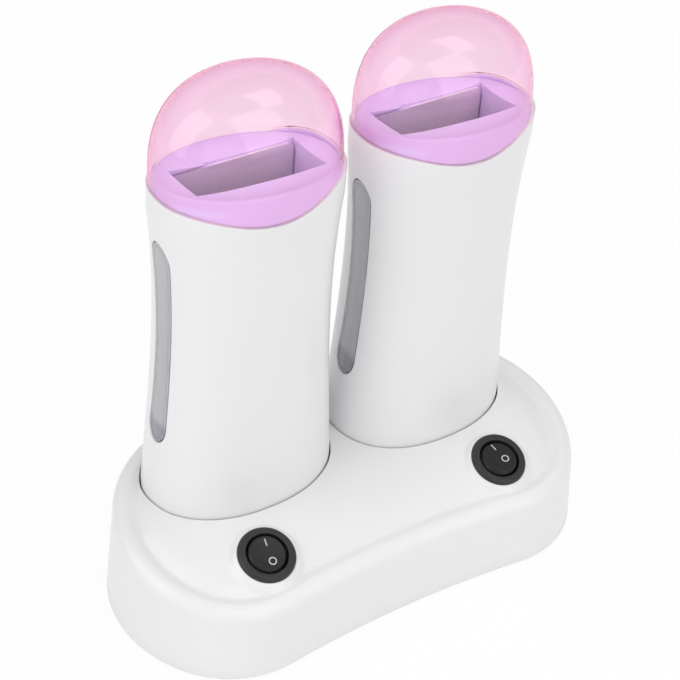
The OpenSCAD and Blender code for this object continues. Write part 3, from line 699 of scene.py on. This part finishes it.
def wall_x(y, z):
    """How far left of the heater's axis the body's outer skin lies."""
    half_w, half_d = body_half(z, EDGE_MID)
    return -half_w * (1 - (abs(y) / half_d) ** OVAL) ** (1 / OVAL)


CUT_GAP = 0.5
body_levels = [0, 0.05, 0.1, 0.14] + spread(0.18, 0.9, 26) + spread(0.92, 0.99, 8) + [1]
for side, sign in SIDES.items():
    rings = [body_ring(sign, v, 0, -EDGE_GAP - EDGE_ROUND if v == 1 else 0) for v in body_levels]
    rings += [body_ring(sign, 1, EDGE_ROUND * (1 - math.cos(math.radians(a))),
                        -EDGE_GAP - EDGE_ROUND * (1 - math.sin(math.radians(a)))) for a in (30, 60, 90)]
    rings += [body_ring(sign, 1, BODY_WALL, -EDGE_GAP)]
    rings += [body_ring(sign, v, BODY_WALL) for v in reversed(body_levels[:-1])] + [rings[0]]
    body = loft(f"heater_body_{side}", rings)

    def cut_ring(grow, depth):
        return [(sign * HEATER_X + wall_x(y, z) + depth, HEATER_Y + y, z) for y, z in window_outline(grow)]
    count = len(window_outline(0))
    hub = (HEATER_Y - 1, (WINDOW_LOW + WINDOW_HIGH) / 2)
    tool = [[(sign * HEATER_X - 60, *hub)] * count]
    tool += [[(sign * HEATER_X - 60, y, z) for x, y, z in cut_ring(CUT_GAP + WINDOW_FLARE, 0)]]
    tool += [cut_ring(CUT_GAP + WINDOW_FLARE, -1)]
    tool += [cut_ring(CUT_GAP + WINDOW_EDGE_ROUND * (1 - math.cos(math.radians(a))),
                      WINDOW_EDGE_ROUND * (1 - math.sin(math.radians(a)))) for a in (70, 50, 30, 0)]
    tool += [cut_ring(CUT_GAP, 6), [(sign * HEATER_X - 26, *hub)] * count]
    carve(body, loft("window_cutter", tool))
    settle(body, f"heater_{side}", "white_shell", white_abs, f"body_{side}")

# ---- Windows ----
# A long narrow pane of smoky clear polycarbonate, clipped into the body from inside just below its skin, with a
# rounded edge and a fine line let in along it. It shows how much wax is left in the cartridge.
PANE_SUNK = 0.3
PANE_ROUND = 0.5
PANE_THICK = 1.7
LINE_IN = 1.35
LINE_HALF = 0.3
LINE_DEEP = 0.35


def smoky_pane(name, foot, middle, rough, through_tint):
    """Tinted cloudy plastic: fine upright streaks, and a colour that turns darker towards its foot."""
    bench = Bench(name)
    height = bench.node("ShaderNodeSeparateXYZ", {}, {0: bench.place()})[2]
    cloud = bench.noise(70.0, 3.0)
    level = (height - (WINDOW_LOW + 3) / 1000) * 90 + (cloud - 0.5) * 0.7
    stops = [(0.0, [*foot, 1]), (0.45, [*foot, 1]), (0.75, [*middle, 1])]
    shade = bench.node("ShaderNodeValToRGB", {"stops": stops}, {0: level})[0]
    upright = bench.node("ShaderNodeMapping", {}, {"Vector": bench.place(), "Scale": (1400, 1400, 40)})[0]
    streaks = bench.noise(1.0, 3.0, 0.6, upright)
    shade = bench.node("ShaderNodeMix", {"data_type": "RGBA", "blend_type": "MULTIPLY"},
                       {0: 1.0, 6: shade, 7: bench.tint(streaks, (0.9, 0.9, 0.91, 1), (1, 1, 1, 1))})[2]
    polish = bench.spread_between(cloud, rough, rough + 0.04)
    glass = bench.node("ShaderNodeBsdfPrincipled", {}, {
        "Base Color": shade, "Roughness": polish, "IOR": 1.49, "Transmission Weight": 0.28,
        "Normal": bench.bump(bench.noise(40.0, 2.0), 0.00002)})[0]
    clear = bench.node("ShaderNodeBsdfTransparent", {}, {0: list(through_tint) + [1]})[0]
    shadow = bench.node("ShaderNodeLightPath")[1]
    skin = bench.node("ShaderNodeMixShader", {}, {0: shadow, 1: glass, 2: clear})[0]
    bench.node("ShaderNodeOutputMaterial", {}, {0: skin})
    return bench.material


smoked = smoky_pane("smoked_polycarbonate", (0.42, 0.40, 0.45), (0.62, 0.62, 0.65), 0.16, (0.5, 0.5, 0.52))
edge_line = window_outline(0)


def to_edge(y, z):
    """Distance of a point of the pane from its outline."""
    return min(math.hypot(y - a, z - b) for a, b in edge_line)


pane_ends = [0.0006, 0.002, 0.0045, 0.008, 0.012, 0.016, 0.022, 0.03, 0.04, 0.053, 0.068, 0.09]
pane_levels = pane_ends + spread(0.115, 0.885, 28) + [1 - t for t in reversed(pane_ends)]
pane_across = [math.sin(math.pi / 2 * s) for s in spread(-1, 1, 52)]
for side, sign in SIDES.items():
    def pane_point(s, t, deep):
        z = WINDOW_LOW + (WINDOW_HIGH - WINDOW_LOW) * t
        y = window_mid(z) + s * window_half(z)
        inside = to_edge(y, z)
        rounding = max(0.0, PANE_ROUND - inside)
        drop = PANE_ROUND - math.sqrt(max(0.0, PANE_ROUND ** 2 - rounding ** 2))
        drop += LINE_DEEP * smooth_step(1 - abs(inside - LINE_IN) / LINE_HALF)
        drop = PANE_THICK if deep else drop
        return (sign * HEATER_X + wall_x(y, z) + PANE_SUNK + drop, HEATER_Y + y, z)
    rings = [[pane_point(s, t, False) for s in pane_across]
             + [pane_point(s, t, True) for s in reversed(pane_across)] for t in pane_levels]
    foot = pane_point(0, 0, True)
    peak = pane_point(0, 1, True)
    pane = loft(f"window_pane_{side}", [[foot] * len(rings[0])] + rings + [[peak] * len(rings[0])])
    settle(pane, f"heater_{side}", "smoked_window", smoked, f"window_{side}", angle=50)

# ---- Inside of each heater ----
# A cap with contact pads closes the body's foot. A channel takes the wax cartridge, and an aluminium plate behind
# it is warmed by a ceramic heater under a spring clamp, with a thermostat and a thermal fuse beside it.
# The plates' colour stands for the collar's lilac light on bare metal, and its value is matched
aluminium = drawn_metal("heating_aluminium", (0.84, 0.78, 0.9), 0.35, (30, 1, 1), metallic=0.4)
ceramic = moulded_plastic("heater_ceramic", (0.62, 0.58, 0.5), 0.7, grain=0.00004)
inner_white = moulded_plastic("cradle_plastic", (0.72, 0.72, 0.74), 0.5, grain=0.00003)
for side in SIDES:
    dress(white_abs, f"body_cap_{side}")
    dress(zinc, f"cap_screws_{side}", f"heater_clamp_{side}", f"thermostat_{side}")
    dress(aluminium, f"heating_plate_{side}")
    dress(ceramic, f"ptc_heater_{side}", f"thermal_fuse_{side}")
    dress(inner_white, f"cradle_{side}")

# ---- Collars ----
# A lilac collar closes the top of each body under the lid. Its rim leans back a little, its top is slightly
# dished, and the cartridge's slot goes through it. It is wider than the CAD's and crosses the lid's and the
# body's walls by about 0.2 mm.
COLLAR_Z = DECK_Z + 140.4
COLLAR_LOW = DECK_Z + 122
COLLAR_SLOPE = (-0.05, -0.1)
COLLAR_FOOT = (35.25, 24.2)
COLLAR_RIM = (35.65, 24.95)
COLLAR_LEAN = -0.4
COLLAR_INSET = 1.15
LID_OVAL = 2.04
COLLAR_ROUND = 1.5
COLLAR_WALL = 3.0
COLLAR_DECK = 2.4
COLLAR_DISH = 2.6
SLOT_W = 52.8
SLOT_D = 20.8
SLOT_ROUND = 0.8
SKIRT = 1.2
CRADLE_TOP = DECK_Z + 121.5
PLATE_BACK = 12.0
PLATE_POCKET_TOP = DECK_Z + 137.5


def collar_lift(x, y):
    return COLLAR_SLOPE[0] * x + COLLAR_SLOPE[1] * y


for side, sign in SIDES.items():
    def flat_ring(half_w, half_d, z):
        return [(sign * HEATER_X + x, HEATER_Y + y, z) for x, y in oval_points(half_w, half_d)]

    def edge_flange(inset, rise):
        return [(sign * HEATER_X + x, HEATER_Y + y, edge_z(x) + rise)
                for x, y in oval_points(EDGE_HALF[0] - inset, EDGE_HALF[1] - inset)]

    def rim_ring(inset, z, scale=1.0):
        half_w, half_d = (COLLAR_RIM[0] - inset) * scale, (COLLAR_RIM[1] - inset) * scale
        return [(sign * HEATER_X + x + COLLAR_LEAN, HEATER_Y + y, z + collar_lift(x, y))
                for x, y in oval_points(half_w, half_d, LID_OVAL)]
    rings = [[(sign * HEATER_X, HEATER_Y, COLLAR_LOW)] * OVAL_COUNT]
    rings += [flat_ring(COLLAR_FOOT[0] - 0.9, COLLAR_FOOT[1] - 0.9, COLLAR_LOW),
              flat_ring(COLLAR_FOOT[0] - 0.4, COLLAR_FOOT[1] - 0.4, COLLAR_LOW + 4),
              flat_ring(*COLLAR_FOOT, EDGE_MID - 6), edge_flange(2.05, -0.3), edge_flange(2.0, 0.1),
              edge_flange(COLLAR_INSET, 0.14)]
    flange_and_rim = list(zip(edge_flange(COLLAR_INSET, 0.14), rim_ring(0, COLLAR_Z - COLLAR_ROUND)))
    rings += [[(a[0] + (b[0] - a[0]) * smooth_step(t), a[1] + (b[1] - a[1]) * smooth_step(t),
                a[2] + (b[2] - a[2]) * t) for a, b in flange_and_rim] for t in (0.2, 0.4, 0.6, 0.8)]
    rings += [rim_ring(COLLAR_ROUND * (1 - math.cos(math.radians(a))),
                       COLLAR_Z - COLLAR_ROUND * (1 - math.sin(math.radians(a)))) for a in spread(0, 90, 8)]
    rings += [rim_ring(COLLAR_ROUND, COLLAR_Z - COLLAR_DISH * (1 - s ** 4), s) for s in spread(0.98, 0.05, 24)]
    rings += [[(sign * HEATER_X, HEATER_Y, COLLAR_Z - COLLAR_DISH)] * OVAL_COUNT]
    collar = loft(f"collar_moulding_{side}", rings)
    hollow = loft("collar_hollow", [
        [(sign * HEATER_X, HEATER_Y, COLLAR_LOW - 1)] * OVAL_COUNT,
        flat_ring(COLLAR_FOOT[0] - COLLAR_WALL - 0.9, COLLAR_FOOT[1] - COLLAR_WALL - 0.9, COLLAR_LOW - 1),
        rim_ring(COLLAR_WALL, COLLAR_Z - COLLAR_DISH - COLLAR_DECK),
        [(sign * HEATER_X, HEATER_Y, COLLAR_Z - COLLAR_DISH - COLLAR_DECK)] * OVAL_COUNT])
    x0, x1 = sign * HEATER_X - SLOT_W / 2, sign * HEATER_X + SLOT_W / 2
    y0, y1 = HEATER_Y - SLOT_D / 2, HEATER_Y + SLOT_D / 2
    carve(hollow, slab("skirt_block", (x0 - SKIRT, y0 - SKIRT, CRADLE_TOP + 0.3),
                       (x1 + SKIRT, y1 - 0.3, CRADLE_TOP + 40)))
    slot_points = []
    for cx, cy, start in ((x1, y0, -90), (x1, y1, 0), (x0, y1, 90), (x0, y0, 180)):
        slot_points += [(cx, cy, math.radians(a)) for a in (start, start + 30, start + 60, start + 90)]

    def slot_ring(grow, z_of):
        line = [(cx + grow * math.cos(a), cy + grow * math.sin(a)) for cx, cy, a in slot_points]
        return [(x, y, z_of(x, y)) for x, y in line]

    def dish_z(x, y):
        px, py = x - sign * HEATER_X, y - HEATER_Y
        s = ((abs(px) / (COLLAR_RIM[0] - COLLAR_ROUND)) ** LID_OVAL
             + (abs(py) / (COLLAR_RIM[1] - COLLAR_ROUND)) ** LID_OVAL) ** (1 / LID_OVAL)
        return COLLAR_Z - COLLAR_DISH * (1 - min(s, 1) ** 4) + collar_lift(px, py)
    middle = (sign * HEATER_X, HEATER_Y)
    tool = [[(*middle, COLLAR_LOW - 2)] * 16, slot_ring(0.01, lambda x, y: COLLAR_LOW - 2)]
    tool += [slot_ring(0.01 + SLOT_ROUND * (1 - math.cos(math.radians(a))),
                       lambda x, y, a=a: dish_z(x, y) - SLOT_ROUND * (1 - math.sin(math.radians(a))))
             for a in (0, 20, 40, 60, 75)]
    tool += [slot_ring(SLOT_ROUND, lambda x, y: COLLAR_Z + 8), [(*middle, COLLAR_Z + 8)] * 16]
    pocket = slab("plate_pocket", (x0, HEATER_Y, COLLAR_LOW - 1), (x1, HEATER_Y + PLATE_BACK, PLATE_POCKET_TOP))
    carve(collar, hollow, loft("slot_cutter", tool), pocket, crossing=True)
    if side == "left":
        lilac = moulded_plastic("lilac_abs", (0.70, 0.62, 0.90), 0.38, grain=0.00001)
    settle(collar, f"heater_{side}", "lilac_collar", lilac, f"collar_{side}")

# ---- Lids ----
# Each lid is a clear pink dome pushed over the collar, a thin moulding of acrylic whose foot sits on the body.
# Its wall is drawn thinner than the CAD's, because clear plastic shows both of its skins.
LID_HALF = (37.0, 26.3)
LID_SPRING = DECK_Z + 139.3
LID_PEAK = DECK_Z + 176.4
LID_LEAN = (-0.4, 2.0)
LID_FULL = 2.7
LID_WALL = 1.0
LID_EDGE_ROUND = 0.3


def lid_ring(sign, t, inset):
    """A level ring of the dome, t from 0 at its foot to 90 at its peak."""
    wide = max(0.0, math.cos(math.radians(t))) ** (2 / LID_FULL)
    high = math.sin(math.radians(t)) ** (2 / LID_FULL)
    z = LID_SPRING + (LID_PEAK - inset - LID_SPRING) * high
    return [(sign * HEATER_X + x * wide + LID_LEAN[0], HEATER_Y + y * wide + LID_LEAN[1] * high, z)
            for x, y in oval_points(LID_HALF[0] - inset, LID_HALF[1] - inset, LID_OVAL)]


def lid_skirt(sign, u, inset, rise=0.0):
    """A ring of the lid's wall below the dome, u from 0 at the foot to 1 at the spring line."""
    foot = [(sign * HEATER_X + x, HEATER_Y + y, edge_z(x) + rise)
            for x, y in oval_points(EDGE_HALF[0] - inset, EDGE_HALF[1] - inset, OVAL)]
    spring = lid_ring(sign, 0, inset)
    blend = smooth_step(u)
    return [(a[0] + (b[0] - a[0]) * blend, a[1] + (b[1] - a[1]) * blend, a[2] + (b[2] - a[2]) * u)
            for a, b in zip(foot, spring)]


def tinted_acrylic(name, surface, deep, density, polish, through_tint):
    """Clear tinted acrylic: a polished skin that mirrors the lamps, and a tint that deepens along a longer way."""
    bench = Bench(name)
    shade = bench.tint(bench.noise(25.0, 2.0), [c * 0.99 for c in surface] + [1], list(surface) + [1])
    glass = bench.node("ShaderNodeBsdfPrincipled", {}, {
        "Base Color": shade, "Roughness": bench.spread_between(bench.noise(50.0, 2.0), polish, polish + 0.02),
        "IOR": 1.03, "Transmission Weight": 1.0, "Coat Weight": 0.65, "Coat Roughness": 0.09, "Coat IOR": 1.5})[0]
    clear = bench.node("ShaderNodeBsdfTransparent", {}, {0: list(through_tint) + [1]})[0]
    shadow = bench.node("ShaderNodeLightPath")[1]
    skin = bench.node("ShaderNodeMixShader", {}, {0: shadow, 1: glass, 2: clear})[0]
    inside = bench.node("ShaderNodeVolumeAbsorption", {}, {0: list(deep) + [1], 1: density})[0]
    bench.node("ShaderNodeOutputMaterial", {}, {0: skin, 1: inside})
    return bench.material


pink_acrylic = tinted_acrylic("pink_acrylic", (1.0, 0.93, 0.97), (0.95, 0.25, 0.62), 115.0, 0.02,
                              (0.99, 0.9, 0.96))
dome_levels = spread(1.2, 88.8, 44)
for side, sign in SIDES.items():
    rings = [lid_ring(sign, 90, LID_WALL)] + [lid_ring(sign, t, LID_WALL) for t in reversed(dome_levels)]
    rings += [lid_skirt(sign, u, LID_WALL) for u in spread(1, 0.08, 7)]
    rings += [lid_skirt(sign, 0, LID_WALL - LID_EDGE_ROUND * math.sin(math.radians(a)),
                        LID_EDGE_ROUND * (1 - math.sin(math.radians(a)))) for a in (0, 45, 90)]
    rings += [lid_skirt(sign, 0, LID_EDGE_ROUND * (1 - math.sin(math.radians(a))),
                        LID_EDGE_ROUND * (1 - math.cos(math.radians(a)))) for a in (0, 45, 90)]
    rings += [lid_skirt(sign, u, 0) for u in spread(0.08, 1, 7)]
    rings += [lid_ring(sign, t, 0) for t in dome_levels] + [lid_ring(sign, 90, 0)]
    dome = loft(f"lid_dome_{side}", rings)
    settle(dome, f"lid_{side}", "pink_lid", pink_acrylic, f"lid_{side}", angle=60)

# ---- Studio ----
# A white sweep under two tall soft boxes, one in front and one to the left, whose reflections stand in the lids,
# and two plain lamps that nothing mirrors. The camera looks down at the part from its front left.
AZIMUTH = math.radians(35.97)
ELEVATION = math.radians(38.65)
ROLL = math.radians(4.76)
TARGET = Vector((0.00374, 0.0177, 0.09133))
DISTANCE = 0.7275
FOCAL = 96.88

forward = Vector((math.sin(AZIMUTH) * math.cos(ELEVATION), math.cos(AZIMUTH) * math.cos(ELEVATION),
                  -math.sin(ELEVATION)))
level = Vector((math.cos(AZIMUTH), -math.sin(AZIMUTH), 0))
upward = level.cross(forward)
right = level * math.cos(ROLL) + upward * math.sin(ROLL)
upward = upward * math.cos(ROLL) - level * math.sin(ROLL)
camera_data = bpy.data.cameras.new("photo_camera")
camera_data.lens = FOCAL
camera_data.sensor_width = 36
camera_data.clip_start = 0.01
camera = bpy.data.objects.new("photo_camera", camera_data)
bpy.context.collection.objects.link(camera)
camera.matrix_world = Matrix.Translation(TARGET - forward * DISTANCE) @ Matrix(
    (right, upward, -forward)).transposed().to_4x4()
bpy.context.scene.camera = camera

bpy.ops.object.select_all(action="DESELECT")
bpy.ops.mesh.primitive_plane_add(size=8, location=(0, 0, 0))
floor = bpy.context.object
floor.name = "floor"
bench = Bench("white_paper")
light_path = bench.node("ShaderNodeLightPath")
seen = light_path[0] + light_path[3] + light_path[6]
paper = bench.node("ShaderNodeBsdfDiffuse", {}, {0: (0.9, 0.9, 0.9, 1)})[0]
glow = bench.node("ShaderNodeEmission", {}, {0: (1, 1, 1, 1), 1: 1.0})[0]
lit = bench.node("ShaderNodeMixShader", {}, {0: seen * 0.94, 1: paper, 2: glow})[0]
bench.node("ShaderNodeOutputMaterial", {}, {0: lit})
floor.data.materials.append(bench.material)

world = bpy.data.worlds.new("studio")
bpy.context.scene.world = world
world.use_nodes = True
world.node_tree.nodes.clear()
sky = Bench.__new__(Bench)
sky.tree = world.node_tree
light_path = sky.node("ShaderNodeLightPath")
ambient = sky.node("ShaderNodeBackground", {}, {0: (1, 1, 1, 1), 1: 0.46})[0]
plain_white = sky.node("ShaderNodeBackground", {}, {0: (1, 1, 1, 1), 1: 1.0})[0]
mixed = sky.node("ShaderNodeMixShader", {}, {0: light_path[0], 1: ambient, 2: plain_white})[0]
sky.node("ShaderNodeOutputWorld", {}, {0: mixed})


def soft_box(name, azimuth, low, high, width, distance, power, mirrored=True):
    """A tall soft box that faces the part, placed by its compass angle from the front and its height range."""
    a = math.radians(azimuth)
    data = bpy.data.lights.new(name, "AREA")
    data.shape = "RECTANGLE"
    data.size = width
    data.size_y = high - low
    data.energy = power
    box = bpy.data.objects.new(name, data)
    bpy.context.collection.objects.link(box)
    box.visible_glossy = mirrored
    place = Vector((distance * math.sin(a), -distance * math.cos(a), (low + high) / 2))
    box.location = place
    box.rotation_euler = (Vector((0, 0, 0.15)) - place).to_track_quat("-Z", "Y").to_euler()


soft_box("front_box", 14, 0.1, 1.8, 0.9, 1.0, 5.9)
soft_box("left_box", -97, 0.1, 1.6, 0.85, 1.0, 5.7)
soft_box("fill_box", -38, 0.25, 0.75, 0.7, 1.1, 1.6, mirrored=False)
soft_box("top_box", 100, 1.2, 1.6, 0.9, 0.6, 4.0, mirrored=False)

bpy.context.scene.view_settings.view_transform = "Standard"
